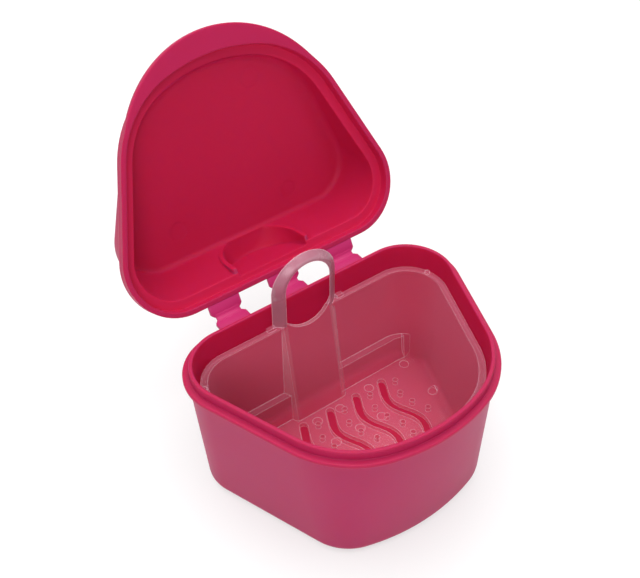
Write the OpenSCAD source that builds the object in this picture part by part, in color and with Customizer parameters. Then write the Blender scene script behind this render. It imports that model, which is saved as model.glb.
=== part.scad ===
// Denture case: a tub with a film-hinged lid and a lift-out rinsing basket.
// Millimetres, +Z up, +Y towards the hinge. The origin is the middle of the tub's underside.
// The lid is drawn open, as it stands at rest.

/* [Case outline] */
// Width across the rim bead
case_w = 90; // [84:0.5:100]
// Depth across the rim bead, front to back
case_d = 67; // [62:0.5:74]
// Radius of the two back corners at the bead
back_r = 16; // [13:0.5:19]
// Radius of the two front corners at the bead
front_r = 30; // [26:0.5:33]
// Lean of the two sides towards the front, degrees
side_taper = 20; // [17:0.5:22]
// Turn of each front corner, degrees
front_turn = 52.5; // [48:0.5:56]

/* [Tub] */
// Height of the tub to the top of its lip
tub_h = 45; // [40:0.5:55]
// How far the base is drawn in from the bead
base_inset = 4.5; // [3:0.1:5.5]
// Radius of the two front corners at the base
base_front_r = 15; // [12:0.5:24]
// Radius round the foot of the walls
base_round = 3.2; // [2:0.1:4]
// Thickness of the tub's walls
wall_t = 1.6; // [1.4:0.1:2]
// Thickness of the tub's floor
floor_t = 2; // [1.4:0.1:3]
// How far the bead stands out of the wall below it
bead_out = 1.4; // [1:0.1:2]
// Height of the bead
bead_t = 1.4; // [1:0.1:2]
// Height of the lip above the bead
lip_h = 2.7; // [2:0.1:3.5]
// How far the lip stands in from the bead's edge
lip_inset = 1.9; // [1.7:0.1:2.4]

/* [Lid] */
// Opening of the lid at rest, degrees from closed
lid_open = 118; // [0:1:180]
// Thickness of the lid
lid_t = 1.9; // [1.4:0.1:2.4]
// Height of the lid's panel over the rim, at the middle of the case
panel_h = 12; // [11.5:0.1:16]
// Rise of the panel towards the hinge, per millimetre
panel_slope = 0.27; // [0.24:0.01:0.29]
// Width of the rim face that lands on the bead
rim_w = 1.55; // [1.3:0.05:1.7]
// Depth of the recess that takes the tub's lip
recess_h = 3; // [2.9:0.1:4]
// Distance from the rim's edge to the foot of the lid's inner wall
ledge_inset = 4.4; // [4:0.1:5]
// Height of the outer skirt round the rim
skirt_h = 3.6; // [3:0.1:4]
// How far the back wall leans inwards over its height
back_lean = 5.2; // [4:0.1:6]
// Radius round the lid's top edge
top_r = 4; // [2:0.1:5]
// Radius round the inner foot of the lid's panel
panel_r = 2; // [1:0.1:3]
// How far the thumb lip reaches out at the front
thumb_out = 5.3; // [3:0.1:7]
// Radius of the thumb lip's edge
thumb_r = 35; // [32:0.5:38]
// Thickness of the thumb lip
thumb_t = 1.8; // [1.2:0.1:2.4]
// Fall of the handle pocket's top towards the front, per millimetre
pocket_fall = 0.33; // [0.28:0.01:0.36]

/* [Hinge straps] */
// Distance from the back of the bead to the fold line
hinge_reach = 4.2; // [3.5:0.1:6]
// Spacing of the three straps
strap_pitch = 20.1; // [17:0.1:23]
// Width of each strap
strap_w = 10.2; // [8:0.1:13]
// Thickness of each strap
strap_t = 1.2; // [0.9:0.1:1.4]
// Width of the thin film at the fold line
film_w = 8; // [6:0.1:9.8]
// Thickness of the film
film_t = 0.6; // [0.5:0.1:0.8]

/* [Basket] */
// Height of the basket's rim over the ground
basket_rim_z = 38.4; // [34:0.1:39.5]
// Wall of the basket
basket_t = 1.1; // [0.9:0.1:1.5]
// Floor of the basket
basket_floor_t = 1.6; // [1:0.1:2.2]
// Room between the basket's wall and the tub
basket_gap = 1.1; // [0.9:0.1:1.3]
// Further room behind the basket
basket_back_room = 0.9; // [0.5:0.1:1.4]
// How far the basket's rim stands out of its wall
basket_rim_out = 0.45; // [0.2:0.05:0.6]
// How far the basket's rim stands in from its wall
basket_rim_in = 0.5; // [0.2:0.05:0.7]
// Height of the basket's rim
basket_rim_t = 1.3; // [1:0.1:2]
// Radius round the foot of the basket's wall
basket_round = 4.2; // [3.8:0.1:5]
// Height of the ledge across the back, over the basket's floor
ledge_h = 9.4; // [6:0.1:14]
// Depth of the ledge
ledge_d = 2.3; // [1.5:0.1:3]
// Width of the hollow behind the ledge, over its walls
ledge_w = 70.6; // [66:0.5:72]
// Straight length of the ledge, before its ends turn towards the front
ledge_straight = 62; // [56:0.5:64]
// Turn of the ledge's ends, degrees
ledge_turn = 13.5; // [8:0.5:18]

/* [Handle] */
// Height of the handle's top over the ground
handle_top_z = 61; // [55:0.1:61]
// Width of the handle and column at the front
handle_front_w = 17; // [14:0.1:18]
// Width of the handle and column at the back
handle_back_w = 22.6; // [20:0.1:23.4]
// Depth of the handle, front to back
handle_d = 2.4; // [1.8:0.1:2.8]
// Wall of the handle and column
handle_t = 1.2; // [1:0.1:1.5]
// Fall of the handle's top from its back edge to its front edge
handle_fall = 1.6; // [1:0.1:2.4]
// Height over the ground of the lowest point of the finger hole
hole_low_z = 35.5; // [33:0.1:37]
// Radius of the finger hole's lower edge
hole_low_r = 9.2; // [8.5:0.1:11]
// Width of the column where it meets the basket's back wall
column_back_w = 22.6; // [20:0.1:23.4]
// Width of the column's front plate at its foot
column_foot_w = 18.2; // [16:0.1:20]
// How far the foot of the column reaches in front of its top
column_lean = 6.4; // [4:0.1:7]

/* [Drainage] */
// Number of wavy drain slots
slot_count = 5; // [3:1:5]
// Spacing of the slots
slot_pitch = 10; // [9:0.1:12]
// Width of each slot
slot_w = 2.6; // [2:0.1:3]
// Length of each slot, front to back
slot_l = 30.4; // [24:0.2:34]
// How far back of the middle the slots start
slot_back = 17.9; // [16:0.1:18.5]
// Sideways swing of the slots each way
slot_swing = 1.8; // [0:0.1:2.2]
// Length of one wave
slot_wave = 22; // [18:0.5:28]
// Diameter of the small drain holes
drain_hole = 1.6; // [1.2:0.1:2]
// Spacing of the drain holes along their row
drain_pitch = 4.9; // [4:0.1:7]
// How far back of the middle the rows of drain holes start
drain_back = 16.1; // [14:0.1:17]

/* [Clearances] */
// Gap between the bead and the closed lid
lid_gap = 0.1; // [0.05:0.05:0.3]
// Gap between a strap and the film
film_gap = 0.05; // [0.02:0.01:0.1]
// Gap between the basket and the tub's floor
seat_gap = 0.05; // [0.02:0.01:0.2]
// Room round the handle in the lid's pocket
pocket_gap = 0.6; // [0.4:0.1:1]

/* [Hidden] */

pink = [0.84, 0.12, 0.33];
film_pink = [0.80, 0.22, 0.45];
clear_white = [0.93, 0.90, 0.91, 0.45];

// Steps along each arc of the outline, and round each small edge
back_steps = 10;
front_steps = 8;
nose_steps = 3;
edge_steps = 4;
arch_steps = 24;
half_n = back_steps + front_steps + nose_steps + 2;
ring_n = 2 * half_n - 1;
round_fn = 64;
over = 1;                               // how far a cutter reaches past what it cuts

bead_z = tub_h - lip_h - bead_t;        // underside of the bead
bead_top = bead_z + bead_t;
bead_round = bead_t * 0.3;
lip_t = bead_out + wall_t - lip_inset;
lip_round = min(0.4, lip_t * 0.35);
inner_r = max(base_round - 1, 1);

rim_z = bead_top + lid_gap;             // the closed lid's rim face
hinge_y = case_d / 2 + hinge_reach;
hinge_z = bead_top + lid_gap / 2;
film_r = film_t / 2;
strap_stop = film_r + film_gap;

handle_back_y = case_d / 2 - ledge_inset;
column_front_y = handle_back_y - handle_d;
pocket_back = handle_back_y + 2 * pocket_gap;
pocket_half = handle_back_w / 2 + pocket_gap;
pocket_top = handle_top_z - rim_z + pocket_gap;
basket_z = floor_t + seat_gap;
basket_floor_z = basket_z + basket_floor_t;

// The outline. From the end of the straight back it runs round the back corner, along the
// side, round the front corner and round the nose to the middle of the front.
// Every outline has the same turns, so outlines of different size join point to point.
turn_1 = 90 + side_taper;
turn_2 = turn_1 + front_turn;

function arc_step(r, p, q) = r * [sin(q) - sin(p), cos(q) - cos(p)];
function arc_points(from, r, p, q, n) = [for (k = [1:n]) from + arc_step(r, p, p + (q - p) * k / n)];
function last(list) = list[len(list) - 1];
// Half width that the back run and both corner arcs reach before the side's length is known
function reach(w, rb, rf) = w / 2 - rb + rb * sin(turn_1) + rf * (sin(turn_2) - sin(turn_1));
function nose_share() = (1 + cos(turn_2)) / sin(turn_2);
function side_length(w, d, rb, rf) =
    (d - rb * (1 - cos(turn_1)) - rf * (cos(turn_1) - cos(turn_2)) - reach(w, rb, rf) * nose_share())
    / (sin(turn_1) + cos(turn_1) * nose_share());
function nose_radius(w, rb, rf, side) = (reach(w, rb, rf) + side * cos(turn_1)) / sin(turn_2);

function half_outline(w, d, rb, rf, inset) =
    let (
        side = side_length(w, d, rb, rf),
        nose = nose_radius(w, rb, rf, side),
        corner = [w / 2 - rb, d / 2 - inset],
        back_arc = arc_points(corner, rb - inset, 0, turn_1, back_steps),
        side_end = last(back_arc) + side * [cos(turn_1), -sin(turn_1)],
        front_arc = arc_points(side_end, rf - inset, turn_1, turn_2, front_steps),
        nose_arc = arc_points(last(front_arc), nose - inset, turn_2, 180, nose_steps)
    )
    concat([corner], back_arc, [side_end], front_arc, nose_arc);

// A closed outline. lean moves its back edge forwards and leaves the sides and front in place.
function outline(w, d, rb, rf, inset, lean = 0) =
    let (half = half_outline(w - 2 * lean * tan(side_taper), d - lean, rb, rf, inset))
    [for (k = [0:ring_n - 1])
        (k < half_n ? half[k] : [-half[ring_n - 1 - k].x, half[ring_n - 1 - k].y]) - [0, lean / 2]];

// The tub's outer wall, drawn in evenly from the bead down to the base
function wall_share(z) = min(z, bead_z) / bead_z;
function wall_inset(z) = bead_out + (base_inset - bead_out) * (1 - wall_share(z));
function wall_front_r(z) =
    base_front_r + base_inset + (front_r - base_front_r - base_inset) * wall_share(z);
function wall_outline(z, inset, lean = 0) =
    outline(case_w, case_d, back_r, wall_front_r(z), wall_inset(z) + inset, lean);
function bead_outline(inset, lean = 0) = outline(case_w, case_d, back_r, front_r, inset, lean);

function at_z(points, z) = [for (p = points) [p.x, p.y, z]];

// Strips from left to right that fill a ring, which keep a sloping face flat
function end_strips(from) = concat(
    [for (k = [0:half_n - 3]) [from + k, from + k + 1, from + ring_n - k - 2, from + ring_n - k - 1]],
    [[from + half_n - 2, from + half_n - 1, from + half_n]]
);
function turned(face) = [for (k = [len(face) - 1:-1:0]) face[k]];

// One closed skin through a list of rings, with a flat face over its first and last ring
module skin(rings) {
    last_ring = len(rings) - 1;
    polyhedron(
        points = [for (ring = rings) each ring],
        faces = concat(
            [for (face = end_strips(0)) turned(face)],
            [for (r = [0:last_ring - 1], k = [0:ring_n - 1], half = [0, 1])
                let (a = r * ring_n + k, b = r * ring_n + (k + 1) % ring_n)
                half == 0 ? [a, b, b + ring_n] : [a, b + ring_n, a + ring_n]],
            end_strips(last_ring * ring_n)
        )
    );
}

module strap_tab(x, z0) {
    root = rim_w / 2;
    translate([x - strap_w / 2, case_d / 2 - root, z0])
        cube([strap_w, hinge_reach + root - strap_stop, strap_t]);
}

strap_places = [-strap_pitch, 0, strap_pitch];

module tub() {
    foot = [for (k = [0:edge_steps])
        let (a = 90 * k / edge_steps, z = base_round * (1 - cos(a)))
        at_z(wall_outline(z, base_round * (1 - sin(a))), z)];
    bead = [
        at_z(wall_outline(bead_z, 0), bead_z),
        at_z(bead_outline(bead_round), bead_z),
        at_z(bead_outline(0), bead_z + bead_round),
        at_z(bead_outline(0), bead_top - bead_round),
        at_z(bead_outline(bead_round), bead_top)
    ];
    lip = [
        at_z(bead_outline(lip_inset), bead_top),
        at_z(bead_outline(lip_inset), tub_h - lip_round),
        at_z(bead_outline(lip_inset + lip_round), tub_h),
        at_z(bead_outline(lip_inset + lip_t - lip_round), tub_h),
        at_z(bead_outline(lip_inset + lip_t), tub_h - lip_round)
    ];
    hollow = concat(
        [at_z(wall_outline(bead_z, wall_t), bead_z)],
        [for (k = [edge_steps:-1:0])
            let (a = 90 * k / edge_steps, z = floor_t + inner_r * (1 - cos(a)))
            at_z(wall_outline(z, wall_t + inner_r * (1 - sin(a))), z)]
    );
    color(pink) union() {
        skin(concat(foot, bead, lip, hollow));
        for (x = strap_places) strap_tab(x, bead_top - strap_t);
    }
}

// The lid, drawn closed. Heights are measured up from its rim face.
function panel_z(y) = panel_h + panel_slope * y;
top_lift = lid_t * sqrt(1 + panel_slope * panel_slope);
lid_wall_inset = ledge_inset - lid_t;

// An edge round between a wall ring and the sloping plane above it, limited by the wall's height
function lid_edge(inset, r, a, foot, lift) =
    let (
        wall = bead_outline(inset, back_lean),
        face = bead_outline(inset + r, back_lean)
    )
    [for (k = [0:ring_n - 1])
        let (
            room = panel_z(face[k].y) + lift - foot,
            local_r = min(r, room * 0.8),
            p = wall[k] + (face[k] - wall[k]) * (local_r / r) * (1 - cos(a))
        )
        [p.x, p.y, rim_z + panel_z(p.y) + lift - local_r * (1 - sin(a))]];

module above_slope(height, slope) {
    translate([0, 0, rim_z + height])
        rotate([atan(slope), 0, 0])
            translate([-case_w / 2, -case_d, 0]) cube([case_w, 2 * case_d, case_d]);
}

// A round-topped block. It is drawn in flats, because its round meets the lid's flats.
module arch(half, top, y0, y1, low) {
    round_top = [for (k = [0:arch_steps]) let (a = 180 * k / arch_steps)
        [half * cos(a), top - half + half * sin(a)]];
    translate([0, y1, rim_z]) rotate([90, 0, 0]) linear_extrude(y1 - y0)
        polygon(concat([[-half, low], [half, low]], round_top));
}

module thumb_lip() {
    edge_overlap = rim_w / 2;
    translate([0, 0, rim_z]) linear_extrude(thumb_t) difference() {
        translate([0, thumb_r - case_d / 2 - thumb_out]) circle(r = thumb_r, $fn = 3 * round_fn);
        polygon(bead_outline(edge_overlap));
        translate([-case_w / 2, 0]) square([case_w, case_d]);
    }
}

module lid_solid() {
    skirt_round = 0.8;
    rim_round = 0.3;
    skin(concat(
        [
            at_z(bead_outline(rim_round), rim_z),
            at_z(bead_outline(0), rim_z + rim_round),
            at_z(bead_outline(0), rim_z + skirt_h - skirt_round),
            at_z(bead_outline(skirt_round), rim_z + skirt_h),
            at_z(bead_outline(lid_wall_inset), rim_z + skirt_h)
        ],
        [for (k = [0:edge_steps])
            lid_edge(lid_wall_inset, top_r, 90 * k / edge_steps, skirt_h, top_lift)]
    ));
}

module lid_hollow() {
    skin(concat(
        [
            at_z(bead_outline(rim_w), rim_z - over),
            at_z(bead_outline(rim_w), rim_z + recess_h),
            at_z(bead_outline(ledge_inset), rim_z + recess_h)
        ],
        [for (k = [0:edge_steps])
            lid_edge(ledge_inset, panel_r, 90 * k / edge_steps, recess_h, 0)]
    ));
}

// The pocket in the lid's back wall stands clear of the handle, and shows as a bulge outside
module closed_lid() {
    pocket_wall = 1.3;
    pocket_front = case_d / 2 - ledge_inset - back_lean;
    difference() {
        union() {
            lid_solid();
            thumb_lip();
            for (x = strap_places) strap_tab(x, rim_z);
            difference() {
                arch(pocket_half + pocket_wall, pocket_top + pocket_wall, pocket_front,
                    pocket_back + pocket_wall, skirt_h / 2);
                above_slope(panel_h + top_lift, panel_slope);
            }
        }
        lid_hollow();
        difference() {
            arch(pocket_half, pocket_top, pocket_front - top_r, pocket_back, recess_h);
            above_slope(pocket_top - pocket_fall * handle_back_y, pocket_fall);
        }
    }
}

module lid() {
    color(pink)
        translate([0, hinge_y, hinge_z]) rotate([-lid_open, 0, 0]) translate([0, -hinge_y, -hinge_z])
            closed_lid();
}

module hinge_film(x) {
    color(film_pink)
        translate([x - film_w / 2, hinge_y, hinge_z]) rotate([0, 90, 0])
            cylinder(r = film_r, h = film_w, $fn = round_fn);
}

module hinge_film_left() { hinge_film(-strap_pitch); }
module hinge_film_middle() { hinge_film(0); }
module hinge_film_right() { hinge_film(strap_pitch); }

// The basket follows the tub's wall at an even distance
function basket_outline(z, inset) = wall_outline(z, wall_t + basket_gap + inset, basket_back_room);

// The back wall of the basket at a height, counted from its outer face
function back_wall_y(z, inset) =
    case_d / 2 - wall_inset(z) - wall_t - basket_gap - basket_back_room - inset;

// A plan of the column at a height: its front plate and two sides that spread to the back wall
column_h = basket_rim_z - basket_floor_z;
function column_low(z) = (basket_rim_z - z) / column_h;
function column_y(z) = column_front_y - column_lean * column_low(z);
function column_half(z) = (handle_front_w + (column_foot_w - handle_front_w) * column_low(z)) / 2;

module column_slice(z, inset, past) {
    front = column_y(z) + inset;
    back = back_wall_y(z, basket_t / 2);
    spread = (column_back_w / 2 - column_half(z)) / (back - column_y(z));
    side_inset = inset * (sqrt(1 + spread * spread) - spread);
    front_half = column_half(z) - side_inset;
    back_half = front_half + spread * (back + past - front);
    translate([0, 0, z]) linear_extrude(0.01)
        polygon([
            [-front_half, front], [front_half, front],
            [back_half, back + past], [-back_half, back + past]
        ]);
}

module column(inset, past, z0, z1) {
    hull() {
        column_slice(z0, inset, past);
        column_slice(z1 - 0.01, inset, past);
    }
}

ledge_z = basket_floor_z + ledge_h;
ledge_y = back_wall_y(ledge_z, basket_t + ledge_d);
ledge_draft = 1;

// The ledge's front leans, and its ends turn forwards until they meet the side walls.
// With an inset it is the hollow behind the ledge, which stops short of the side walls.
ledge_lean = atan(ledge_draft / (ledge_z - basket_z));

module ledge_block(inset, z0, z1) {
    half = inset > 0 ? ledge_w / 2 - inset : case_w / 2;
    bend = ledge_straight / 2 + inset * tan(ledge_turn / 2);
    end_y = (bend - half) * tan(ledge_turn);
    depth = case_d / 2 - ledge_y;
    intersection() {
        translate([0, ledge_y + inset, ledge_z]) rotate([-ledge_lean, 0, 0])
            translate([0, 0, -2 * ledge_h]) linear_extrude(3 * ledge_h)
                polygon([
                    [-half, end_y], [-bend, 0], [bend, 0], [half, end_y],
                    [half, depth], [-half, depth]
                ]);
        translate([-case_w, 0, z0]) cube([2 * case_w, case_d, z1 - z0]);
    }
}

module basket_solid(inset, z0, r) {
    skin(concat(
        [for (k = [0:edge_steps])
            let (a = 90 * k / edge_steps, z = z0 + r * (1 - cos(a)))
            at_z(basket_outline(z, inset + r * (1 - sin(a))), z)],
        [at_z(basket_outline(basket_rim_z, inset), basket_rim_z)]
    ));
}

module basket_bowl() {
    rim_low = basket_rim_z - basket_rim_t;
    rim_round = 0.3;
    inner_round = basket_round - basket_t;
    skin(concat(
        [for (k = [0:edge_steps])
            let (a = 90 * k / edge_steps, z = basket_z + basket_round * (1 - cos(a)))
            at_z(basket_outline(z, basket_round * (1 - sin(a))), z)],
        [
            at_z(basket_outline(rim_low, 0), rim_low),
            at_z(basket_outline(rim_low, -basket_rim_out), rim_low),
            at_z(basket_outline(basket_rim_z, -basket_rim_out), basket_rim_z - rim_round),
            at_z(basket_outline(basket_rim_z, rim_round - basket_rim_out), basket_rim_z),
            at_z(basket_outline(basket_rim_z, basket_t + basket_rim_in), basket_rim_z),
            at_z(basket_outline(rim_low, basket_t + basket_rim_in), rim_low),
            at_z(basket_outline(rim_low - basket_rim_in, basket_t), rim_low - basket_rim_in)
        ],
        [for (k = [edge_steps:-1:0])
            let (a = 90 * k / edge_steps, z = basket_floor_z + inner_round * (1 - cos(a)))
            at_z(basket_outline(z, basket_t + inner_round * (1 - sin(a))), z)]
    ));
}

// Sideways place of a slot or a row of holes, which all share one wave
slot_trough = 10;                       // where a slot swings furthest to the left
function wave_x(y) = -slot_swing * cos(360 * (y - slot_trough) / slot_wave);

// Points of a half round that turns about a centre from one side of a slot to the other
function half_round(centre, from, n) = [for (k = [1:n - 1])
    let (a = -180 * k / n, d = from - centre)
    centre + [d.x * cos(a) - d.y * sin(a), d.x * sin(a) + d.y * cos(a)]];

module wavy_slot(x) {
    steps = 24;
    end_steps = 8;
    half = slot_w / 2;
    line = [for (k = [0:steps]) let (y = slot_back - slot_l * k / steps) [x + wave_x(y), y]];
    side = [for (k = [0:steps])
        let (d = line[min(k + 1, steps)] - line[max(k - 1, 0)])
        [-d.y, d.x] / norm(d) * half];
    translate([0, 0, basket_z - over]) linear_extrude(basket_floor_t + 2 * over)
        polygon(concat(
            [for (k = [0:steps]) line[k] + side[k]],
            half_round(line[steps], line[steps] + side[steps], end_steps),
            [for (k = [steps:-1:0]) line[k] - side[k]],
            half_round(line[0], line[0] - side[0], end_steps)
        ));
}

module drainage() {
    first = -slot_pitch * (slot_count - 1) / 2;
    rows = floor((slot_l - slot_w) / drain_pitch);
    for (k = [0:slot_count - 1]) wavy_slot(first + k * slot_pitch);
    for (k = [-1:slot_count - 1], j = [0:rows]) {
        y = drain_back - j * drain_pitch;
        outer = k == -1 || k == slot_count - 1;
        if (!outer || j < rows - 1)
            translate([first + (k + 0.5) * slot_pitch + wave_x(y), y, basket_z - over])
                cylinder(d = drain_hole, h = basket_floor_t + 2 * over, $fn = round_fn);
    }
}

module finger_arc() {
    translate([0, handle_back_y + over, hole_low_z + hole_low_r]) rotate([90, 0, 0])
        linear_extrude(3 * handle_d + 2 * over) intersection() {
            circle(r = hole_low_r, $fn = round_fn);
            translate([-hole_low_r, -hole_low_r]) square([2 * hole_low_r, hole_low_r]);
        }
}

module basket() {
    color(clear_white) difference() {
        union() {
            basket_bowl();
            intersection() {
                basket_solid(basket_t / 2, basket_z, basket_round);
                ledge_block(0, basket_z, ledge_z);
            }
            column(0, 0, basket_z + basket_floor_t / 2, basket_rim_z);
        }
        ledge_block(basket_t, basket_z - over, ledge_z - basket_t);
        column(handle_t, 2 * basket_t, basket_z - over, basket_rim_z + over);
        finger_arc();
        drainage();
    }
}

// The loop over the rim: one bent wall, wider at its back edge than at its front
module loop_slice(half, top, y) {
    translate([0, y + 0.01, 0]) rotate([90, 0, 0]) linear_extrude(0.01) {
        translate([0, top - half]) circle(r = half, $fn = round_fn);
        translate([-half, basket_rim_z - over]) square([2 * half, top - half - basket_rim_z + over]);
    }
}

module loop(inset) {
    reach = inset > 0 ? over : 0;
    spread = (handle_back_w - handle_front_w) / 2 / handle_d;
    fall = handle_fall / handle_d;
    hull() {
        loop_slice(handle_front_w / 2 - inset - spread * reach, handle_top_z - handle_fall - inset - fall * reach,
            column_front_y - reach);
        loop_slice(handle_back_w / 2 - inset + spread * reach, handle_top_z - inset + fall * reach,
            handle_back_y - 0.01 + reach);
    }
}

module basket_handle() {
    color(clear_white) difference() {
        loop(0);
        loop(handle_t);
        translate([-case_w / 2, 0, basket_rim_z - 2 * over]) cube([case_w, case_d / 2, 2 * over]);
    }
}

tub();
lid();
basket();
basket_handle();
hinge_film_left();
hinge_film_middle();
hinge_film_right();
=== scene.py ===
import math

import bmesh
import bpy
from mathutils import Matrix, Vector


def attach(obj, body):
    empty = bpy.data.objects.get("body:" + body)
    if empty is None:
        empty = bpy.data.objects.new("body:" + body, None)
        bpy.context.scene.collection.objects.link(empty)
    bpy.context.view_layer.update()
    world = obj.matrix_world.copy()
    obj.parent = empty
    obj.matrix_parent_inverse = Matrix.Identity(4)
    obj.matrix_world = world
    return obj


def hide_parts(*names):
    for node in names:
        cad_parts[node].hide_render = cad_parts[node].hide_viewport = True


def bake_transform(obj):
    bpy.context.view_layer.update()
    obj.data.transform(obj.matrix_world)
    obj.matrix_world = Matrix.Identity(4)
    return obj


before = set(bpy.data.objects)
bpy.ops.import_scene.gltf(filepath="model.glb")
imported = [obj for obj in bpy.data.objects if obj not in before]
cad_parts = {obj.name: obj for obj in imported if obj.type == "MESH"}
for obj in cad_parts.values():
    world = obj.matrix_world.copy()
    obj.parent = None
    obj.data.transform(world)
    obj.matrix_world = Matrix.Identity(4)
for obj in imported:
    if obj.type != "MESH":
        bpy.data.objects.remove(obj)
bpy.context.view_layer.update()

mm = 0.001  # sizes are in millimetres where no note says metres
hair = 0.01  # a step too small to see
startRadius = 0.03  # metres, of a new circle whose points are moved at once
weldDistance = 1e-7


def deselectAll():
    if bpy.context.object and bpy.context.object.mode != "OBJECT":
        bpy.ops.object.mode_set(mode="OBJECT")
    bpy.ops.object.select_all(action="DESELECT")


def pick(piece):
    deselectAll()
    piece.select_set(True)
    bpy.context.view_layer.objects.active = piece


# The case outline, the same plan as the solids, with finer steps
caseOutline = {
    "width": 90, "depth": 67, "backRadius": 16, "frontRadius": 30,
    "sideTaper": 20, "frontTurn": 52.5,
    "backPoints": 8, "cornerPoints": 20, "sidePoints": 5, "frontPoints": 16, "nosePoints": 9,
}
caseBack = caseOutline["depth"] / 2


def arcRun(start, radius, p, q, steps):
    run = []
    for k in range(1, steps + 1):
        a = p + (q - p) * k / steps
        run.append((start[0] + radius * (math.sin(a) - math.sin(p)),
                    start[1] + radius * (math.cos(a) - math.cos(p))))
    return run


def halfOutline(width, depth, frontRadius, inset):
    o = caseOutline
    turn1 = math.radians(90 + o["sideTaper"])
    turn2 = turn1 + math.radians(o["frontTurn"])
    rb, rf = o["backRadius"], frontRadius
    share = (1 + math.cos(turn2)) / math.sin(turn2)
    reach = width / 2 - rb + rb * math.sin(turn1) + rf * (math.sin(turn2) - math.sin(turn1))
    side = depth - rb * (1 - math.cos(turn1)) - rf * (math.cos(turn1) - math.cos(turn2)) - reach * share
    side /= math.sin(turn1) + math.cos(turn1) * share
    nose = (reach + side * math.cos(turn1)) / math.sin(turn2)
    straight = width / 2 - rb
    run = [(straight * k / o["backPoints"], depth / 2 - inset) for k in range(o["backPoints"] + 1)]
    run += arcRun(run[-1], rb - inset, 0, turn1, o["cornerPoints"])
    x, y = run[-1]
    for k in range(1, o["sidePoints"] + 1):
        t = side * k / o["sidePoints"]
        run.append((x + t * math.cos(turn1), y - t * math.sin(turn1)))
    run += arcRun(run[-1], rf - inset, turn1, turn2, o["frontPoints"])
    run += arcRun(run[-1], nose - inset, turn2, math.pi, o["nosePoints"])
    return run


# lean moves the back edge forwards and leaves the sides and the front in place
def outline(inset, frontRadius=None, lean=0.0):
    o = caseOutline
    width = o["width"] - 2 * lean * math.tan(math.radians(o["sideTaper"]))
    half = halfOutline(width, o["depth"] - lean, frontRadius or o["frontRadius"], inset)
    loop = half + [(-x, y) for x, y in reversed(half[1:-1])]
    return [(x, y - lean / 2) for x, y in loop]


def level(points, z):
    return [Vector((x, y, z)) * mm for x, y in points]


# A corner-by-corner profile whose corners are rounded by the distance that each one gives
def softProfile(corners, steps):
    most = 0.49  # the share of a side that one corner may take
    path = []
    for k, (inset, z, r) in enumerate(corners):
        here = Vector((inset, z))
        if r <= 0 or k in (0, len(corners) - 1):
            path.append(here)
            continue
        before = Vector(corners[k - 1][:2])
        after = Vector(corners[k + 1][:2])
        a = here + (before - here).normalized() * min(r, (before - here).length * most)
        b = here + (after - here).normalized() * min(r, (after - here).length * most)
        for s in range(steps + 1):
            t = s / steps
            path.append(a * (1 - t) ** 2 + here * 2 * t * (1 - t) + b * t * t)
    return path


# A disc of points is extruded ring by ring, and each new ring is moved onto its own outline.
# bands gives the material slot of the faces between one ring and the next.
def loft(name, rings, bands=None):
    deselectAll()
    count = len(rings[0])
    bpy.ops.mesh.primitive_circle_add(vertices=count, radius=startRadius, fill_type="NGON")
    piece = bpy.context.object
    piece.name = piece.data.name = name
    bpy.ops.object.mode_set(mode="EDIT")
    bpy.ops.mesh.select_mode(type="FACE")
    bpy.ops.mesh.select_all(action="SELECT")
    mesh = bmesh.from_edit_mesh(piece.data)
    mesh.verts.ensure_lookup_table()
    place = {k: k for k in range(count)}
    for k in range(count):
        mesh.verts[k].co = rings[0][k]
    if bands:
        for face in mesh.faces:
            face.material_index = bands[0]
    bmesh.update_edit_mesh(piece.data)
    for r, ring in enumerate(rings[1:]):
        bpy.ops.mesh.extrude_region_move()
        mesh = bmesh.from_edit_mesh(piece.data)
        mesh.verts.index_update()
        moved = {}
        for vert in mesh.verts:
            if vert.select:
                for edge in vert.link_edges:
                    other = edge.other_vert(vert)
                    if not other.select:
                        moved[vert.index] = place[other.index]
                        if bands:
                            for face in edge.link_faces:
                                face.material_index = bands[r]
        mesh.verts.ensure_lookup_table()
        for index, k in moved.items():
            mesh.verts[index].co = ring[k]
        place = moved
        if bands:
            for face in mesh.faces:
                if face.select:
                    face.material_index = bands[-1]
        bmesh.update_edit_mesh(piece.data)
    bpy.ops.mesh.select_all(action="SELECT")
    bpy.ops.mesh.remove_doubles(threshold=weldDistance)
    bpy.ops.mesh.normals_make_consistent(inside=False)
    bpy.ops.object.mode_set(mode="OBJECT")
    return piece


# A flat closed line of points, filled and pulled up or along to a block
def block(name, points, push):
    deselectAll()
    bpy.ops.mesh.primitive_circle_add(vertices=len(points), radius=startRadius, fill_type="NGON")
    piece = bpy.context.object
    piece.name = piece.data.name = name
    for vert, point in zip(piece.data.vertices, points):
        vert.co = point
    bpy.ops.object.mode_set(mode="EDIT")
    bpy.ops.mesh.select_all(action="SELECT")
    bpy.ops.mesh.extrude_region_move(TRANSFORM_OT_translate={"value": push})
    bpy.ops.mesh.select_all(action="SELECT")
    bpy.ops.mesh.normals_make_consistent(inside=False)
    bpy.ops.object.mode_set(mode="OBJECT")
    return piece


def circlePoints(radius, steps):
    turns = [2 * math.pi * k / steps for k in range(steps)]
    return [(radius * math.cos(a), radius * math.sin(a)) for a in turns]


def rodZ(x, y, radius, low, high, steps=20):
    plan = [Vector((x + u, y + v, low)) * mm for u, v in circlePoints(radius, steps)]
    return block("rod", plan, (0, 0, (high - low) * mm))


def rodY(x, z, radius, front, back, steps):
    plan = [Vector((x + u, front, z + v)) * mm for u, v in circlePoints(radius, steps)]
    return block("rod", plan, (0, (back - front) * mm, 0))


def applyModifier(piece, kind, **values):
    pick(piece)
    modifier = piece.modifiers.new(kind.lower(), kind)
    for key, value in values.items():
        setattr(modifier, key, value)
    bpy.ops.object.modifier_apply(modifier=modifier.name)


# Rounds the edges whose two faces meet at more than the angle
def roundEdges(piece, width, segments, angle):
    applyModifier(piece, "BEVEL", width=width * mm, segments=segments, limit_method="ANGLE",
                  angle_limit=math.radians(angle))


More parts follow.
